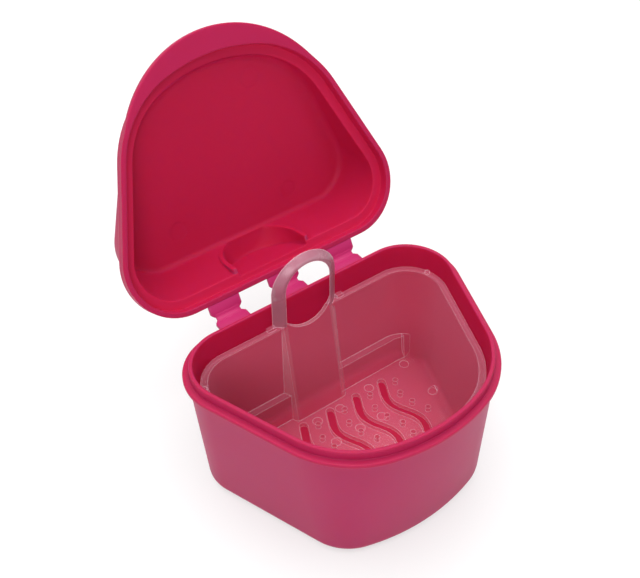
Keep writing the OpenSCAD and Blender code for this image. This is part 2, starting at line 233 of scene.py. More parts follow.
# The tool takes the piece's materials, and its faces come out in the given slot
def combine(piece, tool, how, slot=0):
    for face in tool.data.polygons:
        face.material_index = slot
    useMaterials(tool, *piece.data.materials)
    applyModifier(piece, "BOOLEAN", operation=how, solver="EXACT", object=tool)
    bpy.data.objects.remove(tool, do_unlink=True)


# Joins two pieces that keep their own slots
def unite(piece, other):
    applyModifier(piece, "BOOLEAN", operation="UNION", solver="EXACT", object=other)
    bpy.data.objects.remove(other, do_unlink=True)


def joinAll(first, others):
    deselectAll()
    for other in others:
        other.select_set(True)
    first.select_set(True)
    bpy.context.view_layer.objects.active = first
    bpy.ops.object.join()
    return first


def smooth(piece, angle=35):
    pick(piece)
    bpy.ops.object.shade_smooth_by_angle(angle=math.radians(angle))


# Emptying the slots resets every face to the first one, so the faces' slots are put back
def useMaterials(piece, *materials):
    slots = [face.material_index for face in piece.data.polygons]
    piece.data.materials.clear()
    for material in materials:
        piece.data.materials.append(material)
    for face, slot in zip(piece.data.polygons, slots):
        face.material_index = slot


# Nodes that several materials need

def newMaterial(name):
    material = bpy.data.materials.new(name)
    material.use_nodes = True
    nodes, links = material.node_tree.nodes, material.node_tree.links
    return material, nodes, links, nodes["Principled BSDF"]


def setInputs(node, values):
    for title, value in values.items():
        node.inputs[title].default_value = value


def mathNode(nodes, operation):
    node = nodes.new("ShaderNodeMath")
    node.operation = operation
    return node


def mixShaders(nodes, links, share, first, second):
    mix = nodes.new("ShaderNodeMixShader")
    links.new(share, mix.inputs["Fac"])
    links.new(first, mix.inputs[1])
    links.new(second, mix.inputs[2])
    return mix.outputs["Shader"]


# Shared effects, built once as node groups. Each material gives their inputs its own values.

def newGroup(name, inputs, outputs):
    group = bpy.data.node_groups.new(name, "ShaderNodeTree")
    for way, sockets in (("INPUT", inputs), ("OUTPUT", outputs)):
        for title, kind in sockets.items():
            group.interface.new_socket(title, in_out=way, socket_type="NodeSocket" + kind)
    return group, group.nodes.new("NodeGroupInput"), group.nodes.new("NodeGroupOutput")


grainLook = {"fineDetail": 3, "broadScale": 90, "broadDetail": 4, "bumpDistance": 0.00005}
driftDetail = 3


# Fine grain of a satin mould face: a tiny bump and a small change of roughness, on softened edges
def makeMouldGrain():
    group, start, end = newGroup(
        "mouldGrain",
        {"Vector": "Vector", "Scale": "Float", "Depth": "Float", "Roughness": "Float",
         "Unevenness": "Float", "Edge": "Float"},
        {"Roughness": "Float", "Normal": "Vector"})
    nodes, links = group.nodes, group.links
    fine = nodes.new("ShaderNodeTexNoise")
    setInputs(fine, {"Detail": grainLook["fineDetail"]})
    links.new(start.outputs["Vector"], fine.inputs["Vector"])
    links.new(start.outputs["Scale"], fine.inputs["Scale"])
    broad = nodes.new("ShaderNodeTexNoise")
    setInputs(broad, {"Scale": grainLook["broadScale"], "Detail": grainLook["broadDetail"]})
    links.new(start.outputs["Vector"], broad.inputs["Vector"])
    centred = mathNode(nodes, "SUBTRACT")
    centred.inputs[1].default_value = 0.5  # the middle of the noise
    links.new(broad.outputs["Fac"], centred.inputs[0])
    spread = mathNode(nodes, "MULTIPLY_ADD")
    links.new(centred.outputs[0], spread.inputs[0])
    links.new(start.outputs["Unevenness"], spread.inputs[1])
    links.new(start.outputs["Roughness"], spread.inputs[2])
    links.new(spread.outputs[0], end.inputs["Roughness"])
    soft = nodes.new("ShaderNodeBevel")
    links.new(start.outputs["Edge"], soft.inputs["Radius"])
    bump = nodes.new("ShaderNodeBump")
    setInputs(bump, {"Distance": grainLook["bumpDistance"]})
    links.new(soft.outputs["Normal"], bump.inputs["Normal"])
    links.new(start.outputs["Depth"], bump.inputs["Strength"])
    links.new(fine.outputs["Fac"], bump.inputs["Height"])
    links.new(bump.outputs["Normal"], end.inputs["Normal"])
    return group


# Slow drift of the pigment through a moulding
def makePigmentDrift():
    group, start, end = newGroup(
        "pigmentDrift",
        {"Vector": "Vector", "Scale": "Float", "Dark": "Color", "Light": "Color"},
        {"Color": "Color"})
    nodes, links = group.nodes, group.links
    cloud = nodes.new("ShaderNodeTexNoise")
    setInputs(cloud, {"Detail": driftDetail})
    links.new(start.outputs["Vector"], cloud.inputs["Vector"])
    links.new(start.outputs["Scale"], cloud.inputs["Scale"])
    mix = nodes.new("ShaderNodeMix")
    mix.data_type = "RGBA"
    links.new(cloud.outputs["Fac"], mix.inputs["Factor"])
    links.new(start.outputs["Dark"], mix.inputs["A"])
    links.new(start.outputs["Light"], mix.inputs["B"])
    links.new(mix.outputs["Result"], end.inputs["Color"])
    return group


mouldGrain = makeMouldGrain()
pigmentDrift = makePigmentDrift()


# Puts grain and pigment on a plastic, and gives the socket of its drifting colour
def addDetail(nodes, links, shader, look):
    place = nodes.new("ShaderNodeTexCoord")
    grain = nodes.new("ShaderNodeGroup")
    grain.node_tree = mouldGrain
    setInputs(grain, {
        "Scale": look["grainScale"], "Depth": look["grainDepth"], "Roughness": look["roughness"],
        "Unevenness": look["unevenness"], "Edge": look["edge"] * mm})
    links.new(place.outputs["Object"], grain.inputs["Vector"])
    links.new(grain.outputs["Roughness"], shader.inputs["Roughness"])
    links.new(grain.outputs["Normal"], shader.inputs["Normal"])
    drift = nodes.new("ShaderNodeGroup")
    drift.node_tree = pigmentDrift
    dark, light = (*look["dark"], 1), (*look["light"], 1)
    setInputs(drift, {"Scale": look["driftScale"], "Dark": dark, "Light": light})
    links.new(place.outputs["Object"], drift.inputs["Vector"])
    return drift.outputs["Color"]


# What all the pinks share: red light goes furthest inside the plastic
pinkPlastic = {"IOR": 1.49, "Subsurface Radius": (1, 0.12, 0.22), "Subsurface Scale": 0.003}


def plasticMaterial(name, look):
    material, nodes, links, shader = newMaterial(name)
    links.new(addDetail(nodes, links, shader, look), shader.inputs["Base Color"])
    setInputs(shader, pinkPlastic)
    setInputs(shader, {"Specular IOR Level": look["specular"], "Subsurface Weight": look["subsurface"]})
    return material


# Colours are linear, and edge is how wide the shading softens an edge. The pinks are copies of one plastic:
# the inside and the recess have a lighter, redder base than the outside, a painted lift that takes out the
# shade in the hollows.
pinkOutside = plasticMaterial("pinkSatinOutside", {
    "dark": (0.350, 0.011, 0.080), "light": (0.385, 0.015, 0.093), "driftScale": 16,
    "roughness": 0.48, "unevenness": 0.06, "grainScale": 2600, "grainDepth": 0.25, "specular": 0.28,
    "subsurface": 0.8, "edge": 0.4,
})
# Lighter, redder base than the outside: painted light for the shaded inside of the tub and the lid
pinkInsideBrightened = plasticMaterial("pinkInsidePaintedLift", {
    "dark": (0.435, 0.0050, 0.048), "light": (0.475, 0.0070, 0.058), "driftScale": 14,
    "roughness": 0.62, "unevenness": 0.06, "grainScale": 1800, "grainDepth": 0.06, "specular": 0.17,
    "subsurface": 0.8, "edge": 0.9,
})
pinkFlange = plasticMaterial("pinkFlange", {
    "dark": (0.375, 0.0100, 0.064), "light": (0.410, 0.0140, 0.076), "driftScale": 20,
    "roughness": 0.42, "unevenness": 0.06, "grainScale": 2600, "grainDepth": 0.15, "specular": 0.14,
    "subsurface": 0.4, "edge": 0.4,
})
# A lighter copy of the flange pink: painted light for the shade in the lid's recess
pinkRecessPaintedLift = plasticMaterial("pinkRecessPaintedLift", {
    "dark": (0.455, 0.0070, 0.052), "light": (0.490, 0.0095, 0.062), "driftScale": 18,
    "roughness": 0.50, "unevenness": 0.06, "grainScale": 2200, "grainDepth": 0.10, "specular": 0.15,
    "subsurface": 0.35, "edge": 0.4,
})
pinkFilm = plasticMaterial("pinkHingeFilm", {
    "dark": (0.44, 0.018, 0.115), "light": (0.49, 0.026, 0.140), "driftScale": 120,
    "roughness": 0.40, "unevenness": 0.05, "grainScale": 2600, "grainDepth": 0.1, "specular": 0.2,
    "subsurface": 0, "edge": 0.3,
})
outsideSlot, insideSlot, flangeSlot, recessSlot = range(4)


# Where the painted edge highlight starts and where it is full, as the product of the rounded and the true
# normal
edgeLine = {"start": 0.985, "full": 0.75}


# Clear plastic: the view passes straight through, under a milky veil that thickens at a slant
def veilMaterial(name, look):
    material, nodes, links, shader = newMaterial(name)
    pigment = addDetail(nodes, links, shader, look)
    setInputs(shader, {"Specular IOR Level": look["specular"]})
    clear = nodes.new("ShaderNodeBsdfTransparent")
    setInputs(clear, {"Color": (*look["tint"], 1)})
    slant = nodes.new("ShaderNodeLayerWeight")
    setInputs(slant, {"Blend": look["blend"]})
    veil = nodes.new("ShaderNodeMapRange")
    setInputs(veil, {"To Min": look["veilFacing"], "To Max": look["veilSlant"]})
    links.new(slant.outputs["Facing"], veil.inputs["Value"])
    # Painted highlight: where the rounded normal turns from the true one, the colour goes paler and the
    # veil thicker, for the light that edges pipe
    rounded = nodes.new("ShaderNodeBevel")  # edges pipe the light and show as pale lines
    setInputs(rounded, {"Radius": look["lineWidth"] * mm})
    flat = nodes.new("ShaderNodeNewGeometry")
    same = nodes.new("ShaderNodeVectorMath")
    same.operation = "DOT_PRODUCT"
    links.new(rounded.outputs["Normal"], same.inputs[0])
    links.new(flat.outputs["Normal"], same.inputs[1])
    line = nodes.new("ShaderNodeMapRange")
    setInputs(line, {"From Min": edgeLine["start"], "From Max": edgeLine["full"]})
    links.new(same.outputs["Value"], line.inputs["Value"])
    tone = nodes.new("ShaderNodeMix")
    tone.data_type = "RGBA"
    setInputs(tone, {"B": (*look["edgeHighlightColor"], 1)})
    links.new(line.outputs["Result"], tone.inputs["Factor"])
    links.new(pigment, tone.inputs["A"])
    links.new(tone.outputs["Result"], shader.inputs["Base Color"])
    total = mathNode(nodes, "MULTIPLY_ADD")
    total.use_clamp = True
    total.inputs[1].default_value = look["edgeHighlightVeil"]
    links.new(line.outputs["Result"], total.inputs[0])
    links.new(veil.outputs["Result"], total.inputs[2])
    veiled = mixShaders(nodes, links, total.outputs[0], clear.outputs["BSDF"], shader.outputs["BSDF"])
    ray = nodes.new("ShaderNodeLightPath")  # lamps shine through, so the tub behind stays lit
    seen = mixShaders(nodes, links, ray.outputs["Is Shadow Ray"], veiled, clear.outputs["BSDF"])
    links.new(seen, nodes["Material Output"].inputs["Surface"])
    return material


clearWall = veilMaterial("clearWall", {
    "dark": (0.94, 0.36, 0.52), "light": (1.00, 0.45, 0.62), "driftScale": 60, "edge": 0,
    "roughness": 0.22, "unevenness": 0.08, "grainScale": 900, "grainDepth": 0.10, "specular": 0.8,
    "tint": (1.0, 0.975, 0.985), "blend": 0.35, "veilFacing": 0.04, "veilSlant": 0.33,
    "lineWidth": 0.35, "edgeHighlightVeil": 0.55, "edgeHighlightColor": (0.98, 0.66, 0.75),
})
# Paler and milkier than the wall: a painted highlight on the cut edges and the column's sides
clearEdgeHighlight = veilMaterial("clearEdgeHighlight", {
    "dark": (0.86, 0.48, 0.58), "light": (0.95, 0.60, 0.70), "driftScale": 90, "edge": 0,
    "roughness": 0.25, "unevenness": 0.08, "grainScale": 900, "grainDepth": 0.10, "specular": 0.8,
    "tint": (0.99, 0.95, 0.965), "blend": 0.40, "veilFacing": 0.10, "veilSlant": 0.48,
    "lineWidth": 0.30, "edgeHighlightVeil": 0.45, "edgeHighlightColor": (0.95, 0.66, 0.74),
})
clearHandle = veilMaterial("clearHandle", {
    "dark": (0.36, 0.135, 0.190), "light": (0.45, 0.180, 0.240), "driftScale": 220, "edge": 0,
    "roughness": 0.28, "unevenness": 0.08, "grainScale": 900, "grainDepth": 0.10, "specular": 0.5,
    "tint": (0.98, 0.90, 0.93), "blend": 0.40, "veilFacing": 0.70, "veilSlant": 0.90,
    "lineWidth": 0.60, "edgeHighlightVeil": 0.25, "edgeHighlightColor": (0.80, 0.42, 0.52),
})
wallSlot, edgeHighlightSlot, handleSlot = range(3)
print("materials ready")


# Tub. flatBase and flatFloor say how far in from the walls the base's and the floor's big face begins.

tubSizes = {
    "height": 45, "baseInset": 4.5, "baseFrontRadius": 15, "footRound": 3.2, "flatBase": 8,
    "wall": 1.6, "floor": 2.0, "innerRound": 2.2, "flatFloor": 7,
    "beadOut": 1.4, "beadHeight": 1.4, "beadRound": 0.45, "beadFoot": 0.35,
    "lipHeight": 2.7, "lipInset": 1.9, "lipRound": 0.4, "lipFoot": 0.2, "flangeDrop": 0.6,
}
profileSteps = 6
beadBottom = tubSizes["height"] - tubSizes["lipHeight"] - tubSizes["beadHeight"]
beadTop = beadBottom + tubSizes["beadHeight"]


def wallInset(z):
    t = tubSizes
    return t["beadOut"] + (t["baseInset"] - t["beadOut"]) * (1 - min(z, beadBottom) / beadBottom)


def frontRadiusAt(z):
    low = tubSizes["baseFrontRadius"] + tubSizes["baseInset"]
    return low + (caseOutline["frontRadius"] - low) * min(z, beadBottom) / beadBottom


def tubRing(inset, z, lean=0.0):
    return level(outline(inset, frontRadiusAt(z), lean), z)


def makeTub():
    t = tubSizes
    top, low, lip = t["height"], t["baseInset"], t["lipInset"]
    innerLow = low + t["wall"]
    lipInner = t["beadOut"] + t["wall"]
    lipMiddle = (lip + lipInner) / 2
    outside = softProfile([
        (low + t["flatBase"], 0, 0), (low, 0, t["footRound"]), (t["beadOut"], beadBottom, t["beadFoot"]),
        (0, beadBottom, t["beadRound"]), (0, beadTop, t["beadRound"]), (lip, beadTop, t["lipFoot"]),
        (lip, top, t["lipRound"]), (lipMiddle, top, 0)], profileSteps)
    inside = softProfile([
        (lipMiddle, top, 0), (lipInner, top, t["lipRound"]), (innerLow, t["floor"], t["innerRound"]),
        (innerLow + t["flatFloor"], t["floor"], 0)], profileSteps)
    path = outside + inside[1:]
    bands = [flangeSlot if q.y > beadBottom + hair else outsideSlot for q in outside[1:]]
    bands += [flangeSlot if q.y > top - t["flangeDrop"] else insideSlot for q in inside[1:]] + [insideSlot]
    return loft("tubShell", [tubRing(p.x, p.y) for p in path], bands)


tub = makeTub()
print("tub shell ready")


# Hinge straps: a tab on the tub, a tab on the lid and a film between them

strapSizes = {
    "pitch": 20.1, "width": 10.2, "thickness": 1.2, "reach": 4.2, "tubRoot": 0.8, "lidRoot": 0.05,
    "earBack": 2.85, "sink": 0.03, "round": 0.28, "foldRoom": 0.36, "neckSide": 0.15,
}
filmSizes = {
    "width": 8.0, "thickness": 0.5, "round": 0.12, "sink": 0.05, "onTab": (0.6, 0.9, 1.3),
    "bendReach": 0.45, "bendSink": 0.06, "bendSteps": 8, "blendReach": 0.5,
}
seatGap = 0.1  # between the tub's bead and the closed lid's rim
hingeY = caseBack + strapSizes["reach"]
hingeZ = beadTop + seatGap / 2
strapPlaces = [-strapSizes["pitch"], 0, strapSizes["pitch"]]
lidOpen = 118


# The tab is full width as far as its ears, and narrows from there to the film
def strapTab(name, x, z, root):
    s = strapSizes
    start, ear, end = caseBack - root, caseBack + s["earBack"], hingeY - s["foldRoom"]
    half, neck = s["width"] / 2, filmSizes["width"] / 2 + s["neckSide"]
    plan = [(x - half, start), (x + half, start), (x + half, ear),
            (x + neck, end), (x - neck, end), (x - half, ear)]
    tab = block(name, level(plan, z), (0, 0, (s["thickness"] - s["sink"]) * mm))
    roundEdges(tab, s["round"], 3, 30)
    useMaterials(tab, pinkFilm)
    smooth(tab, 40)
    return tab


tubTabZ = beadTop - strapSizes["thickness"]
tubTabs = [strapTab("tubTab", x, tubTabZ, strapSizes["tubRoot"]) for x in strapPlaces]
useMaterials(tub, pinkOutside, pinkInsideBrightened, pinkFlange)
tub = joinAll(tub, tubTabs)
smooth(tub)
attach(tub, "tub")
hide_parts("tub")


# The film follows the tub at one end and the lid at the other
def makeFilm(name, x):
    f = filmSizes
    half, thick, sink = f["width"] / 2, f["thickness"], f["sink"]
    a = math.radians(lidOpen)
    lidWay = Vector((0, -math.cos(a), math.sin(a)))
    lidBack = Vector((0, math.sin(a), math.cos(a)))
    axis = Vector((0, hingeY, hingeZ))
    sections = []
    for along in reversed(f["onTab"]):
        sections.append((axis + Vector((0, -along, -sink)), axis + Vector((0, -along, -sink - thick))))
    for k in range(1, f["bendSteps"]):
        share = k / f["bendSteps"]
        turn = math.radians(180 - lidOpen) * share
        down = Vector((0, math.sin(turn), -math.cos(turn)))
        core = axis + Vector((0, -f["bendReach"], 0)).lerp(lidWay * f["bendReach"], share)
        sections.append((core + down * f["bendSink"], core + down * (f["bendSink"] + thick)))
    for along in f["onTab"]:
        near = axis + lidWay * along
        sections.append((near + lidBack * sink, near + lidBack * (sink + thick)))
    rings = []
    for top, bottom in sections:
        rings.append([Vector((x + half, *top.yz)) * mm, Vector((x + half, *bottom.yz)) * mm,
                      Vector((x - half, *bottom.yz)) * mm, Vector((x - half, *top.yz)) * mm])
    film = loft("hingeFilm" + name, rings)
    roundEdges(film, f["round"], 2, 50)
    smooth(film, 50)
    useMaterials(film, pinkFilm)
    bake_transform(film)
    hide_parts("hinge_film_" + name.lower())


for filmName, x in zip(("Left", "Middle", "Right"), strapPlaces):
    makeFilm(filmName, x)
print("hinge straps ready")


# Lid, built closed and then swung open about the hinge line. Heights count from its rim face.

lidSizes = {
    "thickness": 1.9, "panelHeight": 12.0, "panelSlope": 0.27, "panelRound": 2.0, "roundShare": 0.8,
    "rimWidth": 1.55, "rimStart": 0.8, "rimRound": 0.3, "recess": 3.0, "recessRise": 0.3,
    "recessRound": 0.25, "recessLookFrom": 1.0, "ledgeInset": 4.4, "ledgeRound": 0.3,
    "skirt": 3.6, "skirtStart": 0.1, "skirtRound": 0.9, "neckRise": 0.5, "neckRound": 0.3,
    "backLean": 5.2, "topRound": 4.0, "thumbOut": 5.3, "thumbRadius": 35, "thumbThickness": 1.8,
    "thumbRound": 0.5, "thumbTrim": 1.0, "thumbLeast": 1e-6,
}
lidSteps = 4
quarterTurn = [math.radians(90 * k / 8) for k in range(9)]
rimZ = beadTop + seatGap
roofLift = lidSizes["thickness"] * math.hypot(1, lidSizes["panelSlope"])


def panelHeight(y):
    return lidSizes["panelHeight"] + lidSizes["panelSlope"] * y


# The round edge between an upright wall and the sloping panel
def panelEdge(inset, radius, angle, foot, lift):
    lean = lidSizes["backLean"]
    wall = outline(inset, lean=lean)
    face = outline(inset + radius, lean=lean)
    ring = []
    for (wx, wy), (fx, fy) in zip(wall, face):
        local = min(radius, (panelHeight(fy) + lift - foot) * lidSizes["roundShare"])
        way = (local / radius) * (1 - math.cos(angle))
        x, y = wx + (fx - wx) * way, wy + (fy - wy) * way
        ring.append(Vector((x, y, rimZ + panelHeight(y) + lift - local * (1 - math.sin(angle)))) * mm)
    return ring


# How far each point of the rim's edge is from the round edge of the thumb lip
def thumbReach(inset):
    s = lidSizes
    centreY = s["thumbRadius"] - caseBack - s["thumbOut"]
    loop = outline(inset)
    reach = []
    n = len(loop)
    for k, (x, y) in enumerate(loop):
        ahead, behind = loop[(k + 1) % n], loop[k - 1]
        normal = Vector((-(ahead[1] - behind[1]), ahead[0] - behind[0])).normalized()
        out = Vector((x, y - centreY))
        if y > 0 or out.length > s["thumbRadius"]:
            reach.append(Vector((x, y, 0)))
            continue
        b = out.dot(normal)
        far = -b + math.sqrt(b * b + s["thumbRadius"] ** 2 - out.length_squared)
        reach.append(Vector((x + normal.x * far, y + normal.y * far, far)))
    return reach


# A ring round the rim and the thumb lip, drawn in from the lip's tip by a share of thumbTrim
def thumbRing(z, trim):
    s = lidSizes
    ring = []
    for base, tip in zip(outline(0), thumbReach(0)):
        back = min(tip.z, s["thumbTrim"]) * trim
        way = (Vector(base) - tip.xy).normalized() if tip.z > s["thumbLeast"] else Vector((0, 0))
        p = tip.xy + way * back
        ring.append(Vector((p.x, p.y, rimZ + z)) * mm)
    return ring


def lidRing(inset, z):
    return level(outline(inset), rimZ + z)


def makeLid():
    s = lidSizes
    ledge, rise, rim, thick = s["ledgeInset"], s["recess"], s["rimWidth"], s["thumbThickness"]
    skirt, neck = s["skirt"], ledge - s["thickness"]
    inner = [panelEdge(ledge, s["panelRound"], a, rise, 0) for a in reversed(quarterTurn)]
    recessPath = softProfile([
        (ledge, rise + s["recessRise"], 0), (ledge, rise, s["ledgeRound"]), (rim, rise, s["recessRound"]),
        (rim, 0, s["rimRound"]), (s["rimStart"], 0, 0)], lidSteps)
    recess = [lidRing(p.x, p.y) for p in recessPath]
    thumb = [thumbRing(p.y, p.x) for p in softProfile([
        (1, 0, 0), (0, 0, s["thumbRound"]), (0, thick, s["thumbRound"]), (1, thick, 0)], lidSteps)]
    edge = [lidRing(2 * hair, thick + 2 * hair)]
    edge += [lidRing(p.x, p.y) for p in softProfile([
        (0, thick + s["skirtStart"], 0), (0, skirt, s["skirtRound"]), (neck, skirt, s["neckRound"]),
        (neck, skirt + s["neckRise"], 0)], lidSteps)]
    outer = [panelEdge(neck, s["topRound"], a, skirt, roofLift) for a in quarterTurn]
    bands = [insideSlot] * len(inner)
    # The recess faces take the lighter recess pink, which paints out their shade
    bands += [recessSlot if p.y > s["recessLookFrom"] else flangeSlot for p in recessPath]
    bands += [flangeSlot] * (len(thumb) + len(edge)) + [outsideSlot] * len(outer)
    return loft("lidShell", inner + recess + thumb + edge + outer, bands)


lid = makeLid()
useMaterials(lid, pinkOutside, pinkInsideBrightened, pinkFlange, pinkRecessPaintedLift)
print("lid shell ready")


# The pocket that clears the basket's handle, and its bulge on the outside

handleBackY = caseBack - lidSizes["ledgeInset"]
pocketSizes = {
    "half": 11.9, "top": 19.2, "front": 16, "back": 30.3, "foot": 0.6, "round": 0.6, "fall": 0.33,
    "steps": 40, "wall": 1.3, "bulgeFront": 24, "bulgeFoot": 0.2, "bulgeRound": 1.0,
}


def archBlock(name, half, top, front, back, low, softness):
    steps = pocketSizes["steps"]
    plan = [Vector((-half, back, rimZ + low)) * mm, Vector((half, back, rimZ + low)) * mm]
    for k in range(steps + 1):
        a = math.pi * k / steps
        plan.append(Vector((half * math.cos(a), back, rimZ + top - half + half * math.sin(a))) * mm)
    piece = block(name, plan, (0, (front - back) * mm, 0))
    roundEdges(piece, softness, 4, 50)
    return piece


# Everything above a plane that slopes down to the front, as a block
def aboveSlope(height, slope):
    far = 60  # past the lid on every side
    zFront, zBack = (rimZ + height + slope * y for y in (-far, far))
    side = [Vector((-far, -far, zFront)), Vector((-far, far, zBack)),
            Vector((-far, far, 2 * far)), Vector((-far, -far, 2 * far))]
    return block("aboveSlope", [p * mm for p in side], (2 * far * mm, 0, 0))


def lidHollow():
    s = lidSizes
    rings = [lidRing(s["ledgeInset"], -2)]  # starts below the rim
    rings += [panelEdge(s["ledgeInset"], s["panelRound"], a, s["recess"], 0) for a in quarterTurn]
    return loft("lidHollow", rings)


def addPocket():
    p, s = pocketSizes, lidSizes
    bulge = archBlock("pocketBulge", p["half"] + p["wall"], p["top"] + p["wall"], p["bulgeFront"],
                      p["back"] + p["wall"], s["recess"] + p["bulgeFoot"], p["bulgeRound"])
    useMaterials(bulge, pinkOutside, pinkInsideBrightened, pinkFlange)
    combine(bulge, aboveSlope(s["panelHeight"] + roofLift - hair, s["panelSlope"]), "DIFFERENCE")
    combine(bulge, lidHollow(), "DIFFERENCE", slot=insideSlot)
    unite(lid, bulge)
    pocket = archBlock("pocket", p["half"], p["top"], p["front"], p["back"],
                       s["recess"] - p["foot"], p["round"])
    combine(pocket, aboveSlope(p["top"] - p["fall"] * handleBackY, p["fall"]), "DIFFERENCE")
    combine(lid, pocket, "DIFFERENCE", slot=insideSlot)


ejectorSizes = {
    "radius": 2.8, "depth": 0.1, "below": 1, "steps": 48, "places": [(12, -21), (18, 16), (-20, 14)],
}


def addEjectorDiscs():
    e = ejectorSizes
    tilt = Matrix.Rotation(math.atan(lidSizes["panelSlope"]), 4, "X")
    for x, y in e["places"]:
        disc = rodZ(0, 0, e["radius"], -e["below"], e["depth"], e["steps"])
        disc.data.transform(Matrix.Translation(Vector((x, y, rimZ + panelHeight(y))) * mm) @ tilt)
        combine(lid, disc, "DIFFERENCE", slot=insideSlot)


addPocket()
addEjectorDiscs()
lidTabs = [strapTab("lidTab", x, rimZ + strapSizes["sink"], strapSizes["lidRoot"]) for x in strapPlaces]
lid = joinAll(lid, lidTabs)
swing = (Matrix.Translation(Vector((0, hingeY, hingeZ)) * mm)
         @ Matrix.Rotation(math.radians(-lidOpen), 4, "X")
         @ Matrix.Translation(Vector((0, -hingeY, -hingeZ)) * mm))
lid.data.transform(swing)
smooth(lid)
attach(lid, "lid")
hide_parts("lid")
print("lid ready")


# Basket

basketSizes = {
    "rimZ": 38.4, "bottomZ": 2.05, "wall": 1.1, "floor": 1.6, "round": 4.2, "flatFloor": 8,
    "gap": 1.1, "backRoom": 0.9, "rimOut": 0.45, "rimIn": 0.5, "rimHeight": 1.3,
    "rimRound": 0.12, "rimFoot": 0.15, "stepRound": 0.3, "stepFoot": 0.4,
    "ledgeHeight": 9.4, "ledgeDepth": 2.3, "ledgeWidth": 70.6, "ledgeStraight": 62,
    "ledgeTurn": 13.5, "ledgeDraft": 1.0, "ledgeRound": 0.5,
}
basketFloorZ = basketSizes["bottomZ"] + basketSizes["floor"]
toolReach = 1  # how far a cutting tool goes past the floor


def basketRing(inset, z):
    b = basketSizes
    return tubRing(wallInset(z) + tubSizes["wall"] + b["gap"] + inset, z, b["backRoom"])


def backWallY(z, inset):
    b = basketSizes
    return caseBack - wallInset(z) - tubSizes["wall"] - b["gap"] - b["backRoom"] - inset


def basketBody(inset):
    b = basketSizes
    path = softProfile([
        (b["flatFloor"], b["bottomZ"], 0), (inset, b["bottomZ"], b["round"]), (inset, b["rimZ"], 0)], 8)
    return loft("basketBody", [basketRing(q.x, q.y) for q in path])


def makeBowl():
    b = basketSizes
    rimLow = b["rimZ"] - b["rimHeight"]
    step = b["wall"] + b["rimIn"]
    path = softProfile([
        (b["flatFloor"], b["bottomZ"], 0), (0, b["bottomZ"], b["round"]), (0, rimLow, b["rimFoot"]),
        (-b["rimOut"], rimLow, b["rimFoot"]), (-b["rimOut"], b["rimZ"], b["rimRound"]),
        (step, b["rimZ"], b["rimRound"]), (step, rimLow, b["stepRound"]),
        (b["wall"], rimLow - b["rimIn"], b["stepFoot"]),
        (b["wall"], basketFloorZ, b["round"] - b["wall"]), (b["flatFloor"], basketFloorZ, 0)], profileSteps)
    return loft("basket", [basketRing(q.x, q.y) for q in path])


# The ledge's front leans, and its ends turn forwards until they meet the side walls.
# With an inset it is the hollow behind the ledge.
def ledgeBlock(name, inset, low, high, softness=0.0):
    b = basketSizes
    ledgeZ = basketFloorZ + b["ledgeHeight"]
    front = backWallY(ledgeZ, b["wall"] + b["ledgeDepth"]) + inset
    turn = math.radians(b["ledgeTurn"])
    half = b["ledgeWidth"] / 2 - inset if inset else caseOutline["width"] / 2
    bend = b["ledgeStraight"] / 2 + inset * math.tan(turn / 2)
    endY = front - (half - bend) * math.tan(turn)
    lean = b["ledgeDraft"] / (ledgeZ - b["bottomZ"])
    rings = []
    for z in (low, high):
        shift = lean * (z - ledgeZ)
        rings.append([Vector((x, y, z)) * mm for x, y in (
            (-half, endY + shift), (-bend, front + shift), (bend, front + shift), (half, endY + shift),
            (half, caseBack), (-half, caseBack))])
    piece = loft(name, rings)
    if softness:
        roundEdges(piece, softness, 4, 50)
    return piece


handleSizes = {
    "top": 61.0, "frontHalf": 8.5, "backHalf": 11.3, "depth": 2.4, "wall": 1.2, "fall": 1.6,
    "bandRound": 0.28, "bandSteps": 3, "limbSteps": 7, "archSteps": 36, "loopSink": 0.6,
    "footHalf": 9.1, "footLean": 6.4, "footBackHalf": 11.3, "columnRound": 1.0, "columnRise": 2.4,
    "hollowRise": 4, "hollowPast": 2.2,
    "holeLow": 35.5, "holeRadius": 9.2, "holeFront": 18, "holeBack": 34, "holeSteps": 96,
}
fingerHoleZ = handleSizes["holeLow"] + handleSizes["holeRadius"]


# How far down the column a height is: 0 at the basket's rim, 1 at its floor
def downColumn(z):
    return (basketSizes["rimZ"] - z) / (basketSizes["rimZ"] - basketFloorZ)


def columnFrontHalf(z):
    h = handleSizes
    return h["frontHalf"] + (h["footHalf"] - h["frontHalf"]) * downColumn(z)


# Plan of the column at a height: a front plate, and two sides that spread back to the wall
def columnPlan(z, inset, past):
    h = handleSizes
    wallMiddle = basketSizes["wall"] / 2
    frontY = handleBackY - h["depth"] - h["footLean"] * downColumn(z)
    half = columnFrontHalf(z)
    backY = backWallY(z, wallMiddle)
    loopSpread = (h["backHalf"] - h["frontHalf"]) / h["depth"]
    rimDepth = backWallY(basketSizes["rimZ"], wallMiddle) - handleBackY + h["depth"]
    topHalf = h["frontHalf"] + loopSpread * rimDepth
    backHalf = topHalf + (h["footBackHalf"] - topHalf) * downColumn(z)
    spread = (backHalf - half) / (backY - frontY)
    half -= inset * (math.sqrt(1 + spread * spread) - spread)
    front = frontY + inset
    back = backY + past
    wide = half + spread * (back - front)
    return [Vector((-half, front, z)) * mm, Vector((half, front, z)) * mm,
            Vector((wide, back, z)) * mm, Vector((-wide, back, z)) * mm]


